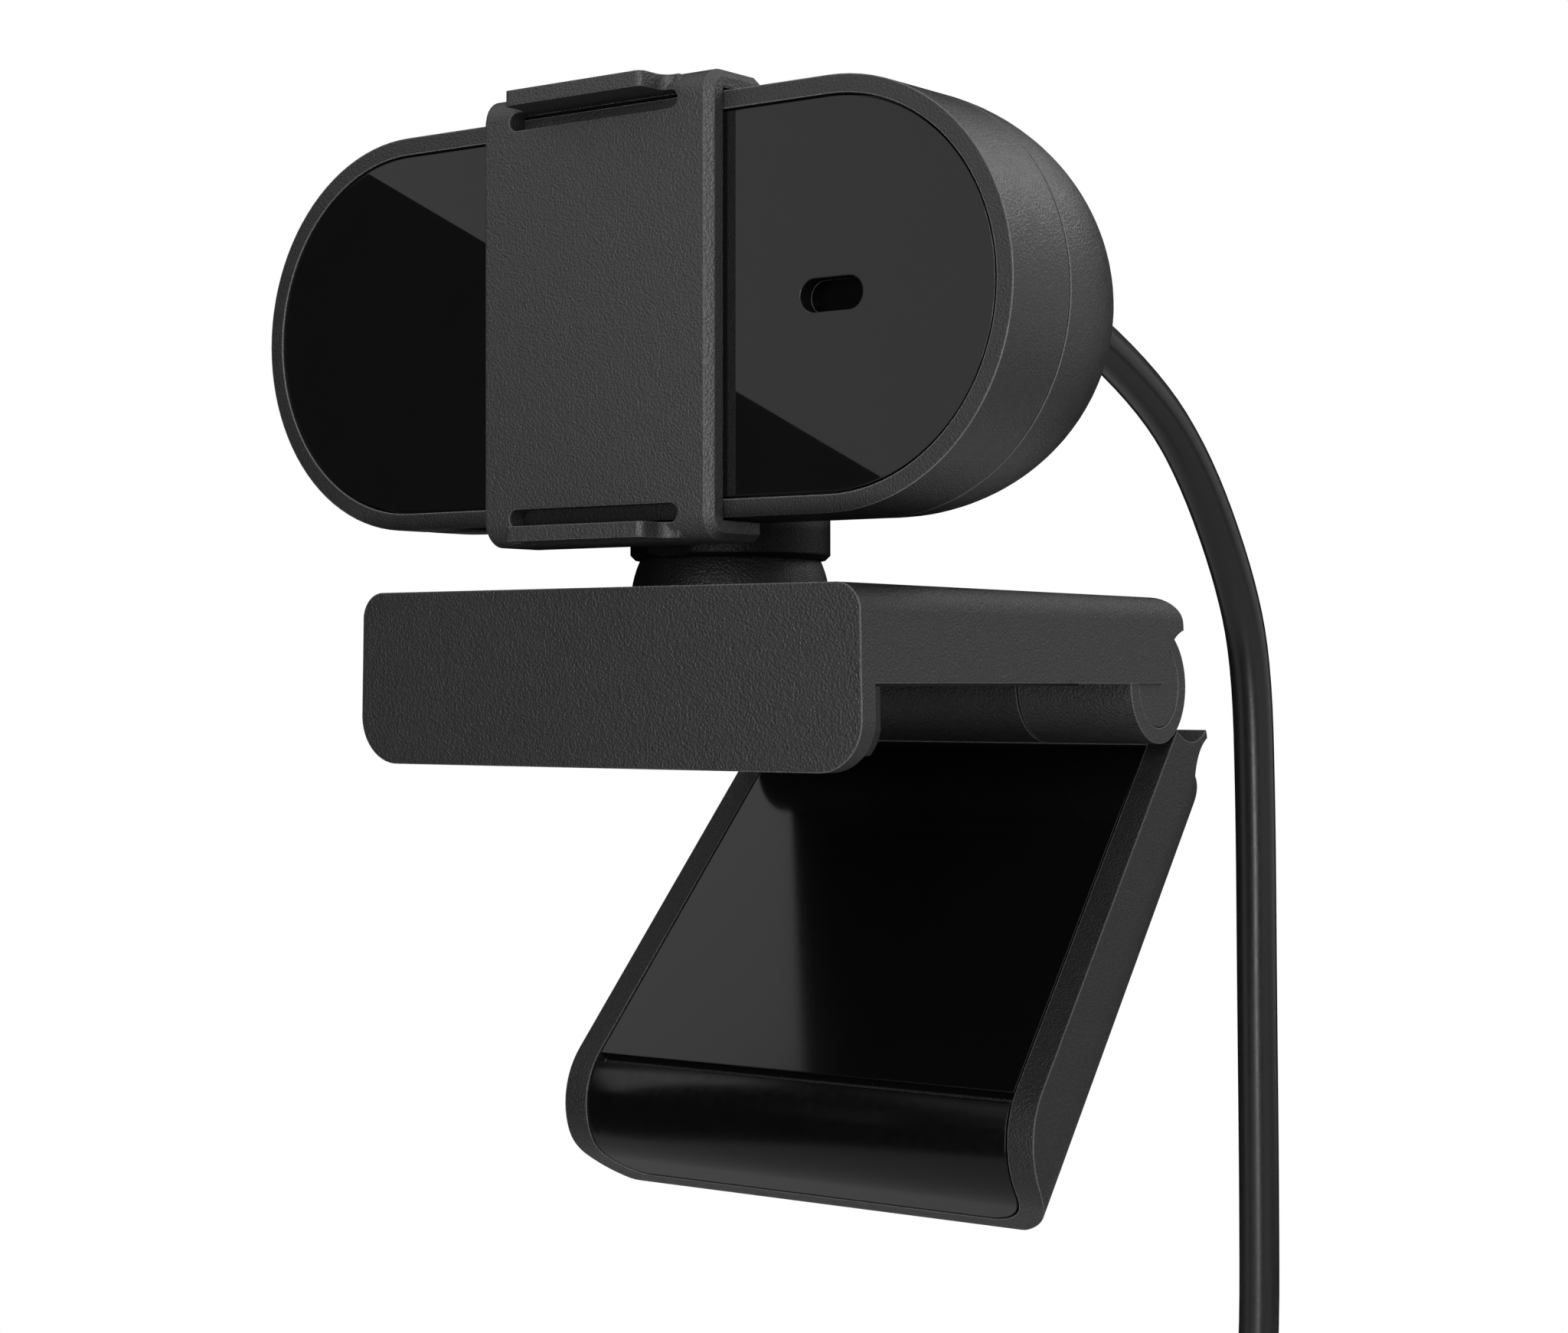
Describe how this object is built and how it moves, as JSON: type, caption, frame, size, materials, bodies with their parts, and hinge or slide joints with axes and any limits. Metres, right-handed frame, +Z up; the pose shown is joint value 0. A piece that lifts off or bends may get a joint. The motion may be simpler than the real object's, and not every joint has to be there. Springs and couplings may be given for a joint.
{
  "type": "clip-on webcam",
  "caption": "Pill-shaped webcam with a sliding lens cover, on a swivelling, tilting neck over a screen clip with a hinged leg; USB cord coiled and tied.",
  "frame": {"origin": "on the swivel axis, on the face of the pad that rests on the screen's top edge", "axes": "+Z up along the swivel axis, -Y the way the camera looks, +X to the right for someone who faces the camera"},
  "size_m": [0.0764, 0.1445, 0.2643],
  "materials": {
    "clip_plastic": "fine-grained matte",
    "neck_plastic": "fine-grained matte",
    "housing_plastic": "satin",
    "cover_plastic": "fine-grained matte",
    "gloss_panel": "gloss",
    "pad_rubber": "smooth",
    "steel": "plain",
    "bush_plastic": "smooth",
    "cord_jacket": "satin",
    "tie_strap": "matte",
    "inner_plastic": "matte",
    "lens_glass": "polished",
    "sensor": "gloss",
    "board": "gloss",
    "clear_plastic": "clear",
    "gold": "plated"
  },
  "bodies": {
    "clip": {"clip_body": "clip_plastic", "clip_plate": "clip_plastic", "plate_screws": "steel", "rest_pad": "pad_rubber", "lip_pad": "pad_rubber", "hinge_pin": "steel", "hinge_caps": "clip_plastic", "swivel_retainer": "steel", "swivel_washer": "steel", "retainer_screws": "steel"},
    "leg": {"leg_shell": "clip_plastic", "leg_panel": "gloss_panel", "foot_pad": "pad_rubber", "friction_bushes": "bush_plastic"},
    "swivel": {"swivel_dome": "neck_plastic", "usb_cable": "cord_jacket", "cable_coil": "cord_jacket", "cable_tie": "tie_strap", "plug_grip": "cord_jacket", "plug_shell": "steel", "plug_tongue": "inner_plastic", "plug_contacts": "gold"},
    "head": {"front_housing": "housing_plastic", "rear_shell": "housing_plastic", "face_panel": "gloss_panel", "lens_window": "lens_glass", "lens_barrel": "inner_plastic", "lens_glass": "lens_glass", "lens_holder": "inner_plastic", "image_sensor": "sensor", "main_board": "board", "board_screws": "steel", "microphones": "inner_plastic", "status_led": "clear_plastic", "light_pipe": "clear_plastic", "board_connector": "inner_plastic", "cable_grommet": "cord_jacket", "neck_stud": "steel", "ball_washer": "steel", "spring_washer": "steel", "stud_nut": "steel"},
    "cover": {"privacy_cover": "cover_plastic"}
  },
  "joints": [
    {"name": "leg_hinge", "type": "hinge", "parent": "clip", "child": "leg", "pos_m": [0, 0.03076, 0.00007], "axis": [1, 0, 0], "range_deg": [-48, 85]},
    {"name": "head_pan", "type": "hinge", "parent": "clip", "child": "swivel", "pos_m": [0, 0, 0], "axis": [0, 0, 1], "range_deg": [-90, 90]},
    {"name": "head_tilt", "type": "hinge", "parent": "swivel", "child": "head", "pos_m": [0, 0, 0.00697], "axis": [1, 0, 0], "range_deg": [-15, 8], "deforming": ["usb_cable"]},
    {"name": "cover_slide", "type": "slide", "parent": "head", "child": "cover", "axis": [1, 0, 0], "range_m": [-0.0185, 0]}
  ]
}
